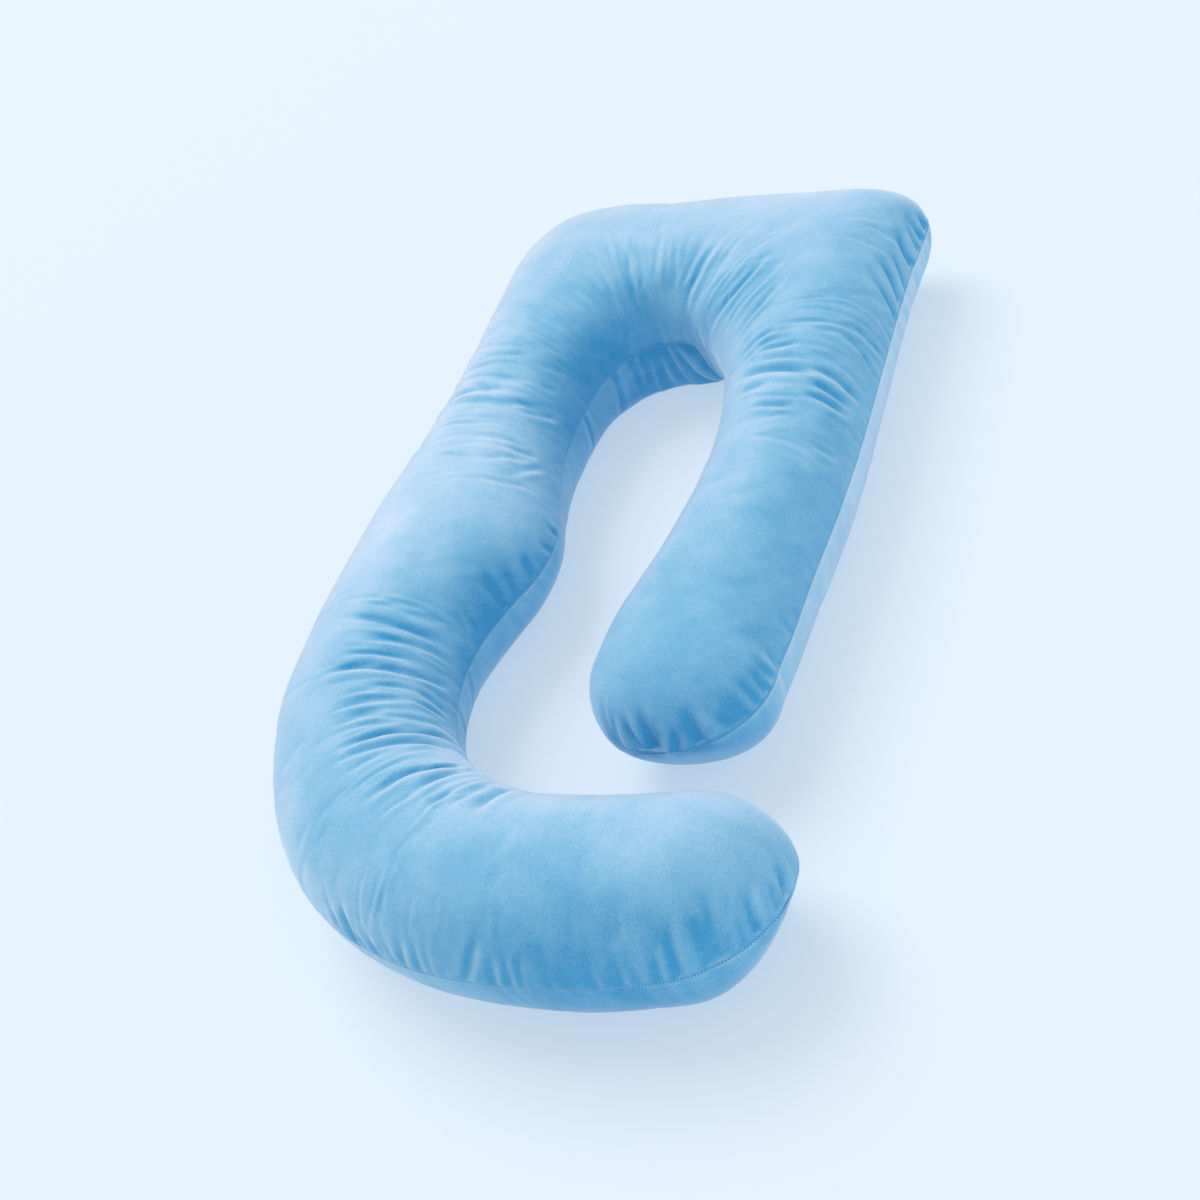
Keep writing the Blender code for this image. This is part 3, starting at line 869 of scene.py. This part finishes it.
# %% Paleness of each point, with its painted light and shade
# the colour is painted paler where the cloth turns towards this side, the side the softbox shines from,
# and deeper blue where it turns away: painted light and shade on the broad turn and on the folds'
# slopes
PAINTED_LIGHT_SIDE = np.array((up * 0.8 - right * 0.55).normalized())  # up and to the left in the picture
BROAD_PAINTED_LIGHT, FOLD_PAINTED_LIGHT, TROUGH_PAINTED_SHADE = 0.4, 0.9, 0.25
TROUGH_DEPTH = 0.4 * CM  # a trough this deep has the whole effect
MIDDLE_PALENESS = 0.42
BROAD_STEPS = 80  # of blurring, to tell the broad turn from the folds

normal = outward(cover)
broad_normal = blurred(normal, BROAD_STEPS)
broad_turn = broad_normal @ PAINTED_LIGHT_SIDE
broad_turn -= np.median(broad_turn[:, : 2 * FACE_POINTS])
face_pale = BROAD_PAINTED_LIGHT * broad_turn + painted_light_and_pile_tone(FACE_ACROSS, FACE_PATCHES)
back_pale = painted_light_and_pile_tone(BACK_ACROSS, BACK_PATCHES)
# painted shade: deeper blue in the troughs of the folds, and a painted highlight, paler, on their
# raised lips
trough = (draw - blurred(draw, BROAD_STEPS)) / TROUGH_DEPTH
paleness = (
    MIDDLE_PALENESS
    + np.where(on_back.reshape(draw.shape), back_pale, face_pale)
    + FOLD_PAINTED_LIGHT * (normal - broad_normal) @ PAINTED_LIGHT_SIDE
    - TROUGH_PAINTED_SHADE * trough
)
paleness = np.clip(paleness, 0, 1).ravel()
print("paleness:", np.percentile(paleness, [2, 25, 50, 75, 98]).round(2))
# the paleness, painted light and shade included, goes onto the cover as an attribute
for name, values, at_tips in (
    ("paleness", paleness, MIDDLE_PALENESS),
    ("seam_gap", seam_gap.ravel() / CM, 0),
):
    attribute = velour_cover.data.attributes.new(name, "FLOAT", "POINT")
    attribute.data.foreach_set("value", np.append(values, [at_tips, at_tips]))
print("cover triangles:", sum(len(face.vertices) - 2 for face in velour_cover.data.polygons))

# %% [markdown]
# ## Velour
#
# Velour is a short, dense pile.
# Seen straight on it is a deep colour, and at a grazing angle the tips of the pile catch the
# light, so its edges look pale.
# Real hairs would be millions of pieces, so a sheen gives the pale edges, and two noises give
# the blotches and the tufts.
# Three blues, from deep to pale, are read off by the paleness, painted light and shade included.

# %% Velour material
# the deep blue also serves as painted shade and the pale blue as painted light, as the paleness sets
# them
DEEP_BLUE = (0.055, 0.33, 0.61, 1)
MIDDLE_BLUE = (0.235, 0.52, 0.74, 1)
PALE_BLUE = (0.62, 0.76, 0.92, 1)
MIDDLE_AT = 0.45  # the paleness that is middle blue
# painted shade for the seam's groove, deepest right at the seam
SEAM_SHADE_BLUE = (0.06, 0.27, 0.50, 1)
GROOVE_FULL, GROOVE_END = 0.06, 0.20  # cm from the seam
GROOVE_SHARE = 0.90  # how much of the groove's colour shows where it is full
MOTTLE, GRAIN = 0.50, 0.60  # how much each of them moves the paleness up and down
SHEEN_TINT = (0.75, 0.88, 1.0, 1)
BUMP_HEIGHT = 0.1 * CM


def velour(name):
    """The cover's material, all of it made of nodes."""
    material = bpy.data.materials.new(name)
    material.use_nodes = True
    nodes, links = material.node_tree.nodes, material.node_tree.links
    shader = nodes["Principled BSDF"]
    shader.inputs["Roughness"].default_value = 0.9
    shader.inputs["Specular IOR Level"].default_value = 0.1
    shader.inputs["Sheen Weight"].default_value = 0.9
    shader.inputs["Sheen Roughness"].default_value = 0.35
    shader.inputs["Sheen Tint"].default_value = SHEEN_TINT
    place = nodes.new("ShaderNodeTexCoord")

    def noise(scale, detail, roughness):
        """A noise that is fixed to the pillow."""
        pattern = nodes.new("ShaderNodeTexNoise")
        pattern.inputs["Scale"].default_value = scale
        pattern.inputs["Detail"].default_value = detail
        pattern.inputs["Roughness"].default_value = roughness
        links.new(place.outputs["Object"], pattern.inputs["Vector"])
        return pattern.outputs["Fac"]

    # paleness of the point, which holds painted light and shade, plus where hands have brushed the pile
    # about, plus its tufts
    mottled = nodes.new("ShaderNodeMath")
    mottled.operation = "MULTIPLY_ADD"
    mottled.inputs[1].default_value = MOTTLE
    mottled.inputs[2].default_value = -(MOTTLE + GRAIN) / 2
    links.new(noise(scale=16, detail=5, roughness=0.6), mottled.inputs[0])
    paleness = nodes.new("ShaderNodeAttribute")
    paleness.attribute_name = "paleness"
    total = nodes.new("ShaderNodeMath")
    total.operation = "ADD"
    links.new(paleness.outputs["Fac"], total.inputs[0])
    links.new(mottled.outputs["Value"], total.inputs[1])
    tufts = noise(scale=400, detail=4, roughness=0.7)
    speckled = nodes.new("ShaderNodeMath")
    speckled.operation = "MULTIPLY_ADD"
    speckled.inputs[1].default_value = GRAIN
    links.new(tufts, speckled.inputs[0])
    links.new(total.outputs["Value"], speckled.inputs[2])
    colour = nodes.new("ShaderNodeValToRGB")
    colour.color_ramp.elements[0].position = 0.0
    colour.color_ramp.elements[0].color = DEEP_BLUE
    colour.color_ramp.elements[1].position = 1.0
    colour.color_ramp.elements[1].color = PALE_BLUE
    colour.color_ramp.elements.new(MIDDLE_AT).color = MIDDLE_BLUE
    links.new(speckled.outputs["Value"], colour.inputs["Fac"])

    # the dark line in the seam, painted shade in its groove
    gap = nodes.new("ShaderNodeAttribute")  # in cm
    gap.attribute_name = "seam_gap"
    groove = nodes.new("ShaderNodeMapRange")
    groove.interpolation_type = "SMOOTHSTEP"
    groove.inputs["From Min"].default_value = GROOVE_FULL
    groove.inputs["From Max"].default_value = GROOVE_END
    groove.inputs["To Min"].default_value = GROOVE_SHARE
    groove.inputs["To Max"].default_value = 0.0
    links.new(gap.outputs["Fac"], groove.inputs["Value"])
    sewn = nodes.new("ShaderNodeMix")
    sewn.data_type = "RGBA"
    share_in, first_in, second_in = sewn.inputs[0], sewn.inputs[6], sewn.inputs[7]  # its colour sockets
    second_in.default_value = SEAM_SHADE_BLUE
    links.new(groove.outputs["Result"], share_in)
    links.new(colour.outputs["Color"], first_in)
    links.new(sewn.outputs[2], shader.inputs["Base Color"])

    bump = nodes.new("ShaderNodeBump")
    bump.inputs["Strength"].default_value = 0.5
    bump.inputs["Distance"].default_value = BUMP_HEIGHT
    links.new(tufts, bump.inputs["Height"])
    links.new(bump.outputs["Normal"], shader.inputs["Normal"])
    return material


velour_cover.data.materials.append(velour("velour_blue"))
print("velour nodes:", len(velour_cover.data.materials[0].node_tree.nodes))

# %% [markdown]
# ## The stitches
#
# A row of short pale stitches runs along the bottom of the seam valley.
# A stitch is too small to need more than a few faces: a tiny ball, drawn out along the seam.
# One is modelled and then set down along the whole seam, out along the inner side and home along
# the outer one.

# %% One stitch
STITCH_LENGTH, STITCH_WIDTH = 0.20 * CM, 0.11 * CM

bpy.ops.mesh.primitive_uv_sphere_add(segments=6, ring_count=4, radius=0.5)
stitch = bpy.context.object
stitch.rotation_euler = (0, math.pi / 2, 0)
bpy.ops.object.transform_apply(rotation=True)
stitch.scale = (STITCH_LENGTH, STITCH_WIDTH, STITCH_WIDTH)
bpy.ops.object.transform_apply(scale=True)
stitch_points = positions(stitch)
stitch_faces = sorted(list(face.vertices) for face in stitch.data.polygons)
bpy.data.objects.remove(stitch, do_unlink=True)
print("faces of a stitch:", len(stitch_faces))

# %% Places along the seam
STITCH_PITCH = 0.38 * CM

inner, outer = SEAM_COLUMNS
first_tip, last_tip = (cover[row].mean(axis=0) for row in (0, -1))
seam = np.concatenate([cover[:, inner], [last_tip], cover[::-1, outer], [first_tip], cover[:1, inner]])
facing = outward(cover)
tips_facing = [facing[row, [inner, outer]].mean(axis=0) for row in (0, -1)]
seam_facing = np.concatenate([facing[:, inner], [tips_facing[1]], facing[::-1, outer],
                              [tips_facing[0]], facing[:1, inner]])
run = np.concatenate([[0], np.cumsum(np.linalg.norm(np.diff(seam, axis=0), axis=1))])
stitch_count = round(run[-1] / STITCH_PITCH)
stops = (np.arange(stitch_count) + 0.5) * run[-1] / stitch_count
print("seam, m:", round(run[-1], 2), "stitches:", stitch_count)

# %% Set the stitches down
STITCH_STANDS_OUT = 0.02 * CM
NEARBY = 0.1 * CM  # the seam's direction at a stitch is read this far before and after it


def along_seam(values, distances):
    """Values along the seam, read at distances along it."""
    return np.stack([np.interp(distances, run, values[:, axis]) for axis in range(3)], axis=1)


def unit(vectors):
    """The same directions with length 1."""
    return vectors / np.linalg.norm(vectors, axis=1, keepdims=True)


ahead = unit(along_seam(seam, stops + NEARBY) - along_seam(seam, stops - NEARBY))
out = along_seam(seam_facing, stops)
out = unit(out - ahead * (out * ahead).sum(axis=1, keepdims=True))
sideways = np.cross(out, ahead)
turned = np.stack([ahead, sideways, out], axis=1)
centres = along_seam(seam, stops) + out * STITCH_STANDS_OUT
all_points = (stitch_points @ turned + centres[:, None]).reshape(-1, 3)
all_faces = [[corner + number * len(stitch_points) for corner in face]
             for number in range(stitch_count) for face in stitch_faces]
stitch_mesh = bpy.data.meshes.new("seam_stitches")
stitch_mesh.from_pydata(all_points.tolist(), [], all_faces)
seam_stitches = bpy.data.objects.new("seam_stitches", stitch_mesh)
bpy.context.collection.objects.link(seam_stitches)
print("stitch triangles:", sum(len(face.vertices) - 2 for face in stitch_mesh.polygons))

# %% Thread
THREAD_BLUE = (0.40, 0.76, 0.98, 1)

thread = bpy.data.materials.new("pale_thread")
thread.use_nodes = True
thread_shader = thread.node_tree.nodes["Principled BSDF"]
thread_shader.inputs["Base Color"].default_value = THREAD_BLUE
thread_shader.inputs["Roughness"].default_value = 0.6
seam_stitches.data.materials.append(thread)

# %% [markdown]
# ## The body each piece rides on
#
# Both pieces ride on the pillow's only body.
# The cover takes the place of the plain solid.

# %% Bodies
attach(velour_cover, "root")
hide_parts("pillow")

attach(seam_stitches, "root")

# %% [markdown]
# ## Floor and light
#
# The backdrop is pale and nearly without shadow, so the floor glows a little by itself.
# A broad lamp lights the pillow from the upper left of the picture, and two weaker ones, from
# the right and from below the camera, soften its shadows.

# %% Floor and light
FLOOR_GREY, FLOOR_GLOW, GLOW_STRENGTH = (0.36, 0.38, 0.385, 1), (0.72, 0.86, 1.0, 1), 0.56
SKY, SKY_STRENGTH = (0.92, 0.96, 1.0, 1), 0.6
FLOOR_SIZE, FLOOR_HEIGHT = 30, -0.1 * CM

bpy.ops.mesh.primitive_plane_add(size=FLOOR_SIZE, location=(0, 0, FLOOR_HEIGHT))
floor = bpy.context.object
floor.name = "floor"
floor_paint = bpy.data.materials.new("floor_paint")
floor_paint.use_nodes = True
paint = floor_paint.node_tree.nodes["Principled BSDF"]
paint.inputs["Base Color"].default_value = FLOOR_GREY
paint.inputs["Roughness"].default_value = 0.9
paint.inputs["Emission Color"].default_value = FLOOR_GLOW
paint.inputs["Emission Strength"].default_value = GLOW_STRENGTH
floor.data.materials.append(floor_paint)

world = bpy.data.worlds.new("studio")
world.use_nodes = True
world.node_tree.nodes["Background"].inputs["Color"].default_value = SKY
world.node_tree.nodes["Background"].inputs["Strength"].default_value = SKY_STRENGTH
bpy.context.scene.world = world

# lamp, the way to it (amounts to the right, up and back in the picture), width in degrees, strength
LAMPS = [
    ("softbox", (-0.6, 0.85, 0.0), 40, 1.60),
    ("fill", (0.8, 0.05, 0.6), 90, 0.62),
    ("reflector", (0.0, -0.40, 0.92), 60, 0.58),
]
for name, (rightwards, upwards, backwards), width, strength in LAMPS:
    lamp_data = bpy.data.lights.new(name, "SUN")
    lamp_data.angle = math.radians(width)
    lamp_data.energy = strength
    lamp = bpy.data.objects.new(name, lamp_data)
    bpy.context.collection.objects.link(lamp)
    way = right * rightwards + up * upwards + back * backwards
    lamp.rotation_euler = way.to_track_quat("Z", "Y").to_euler()
bpy.context.scene.view_settings.view_transform = "Standard"
print("lamps:", [name for name, *_ in LAMPS])
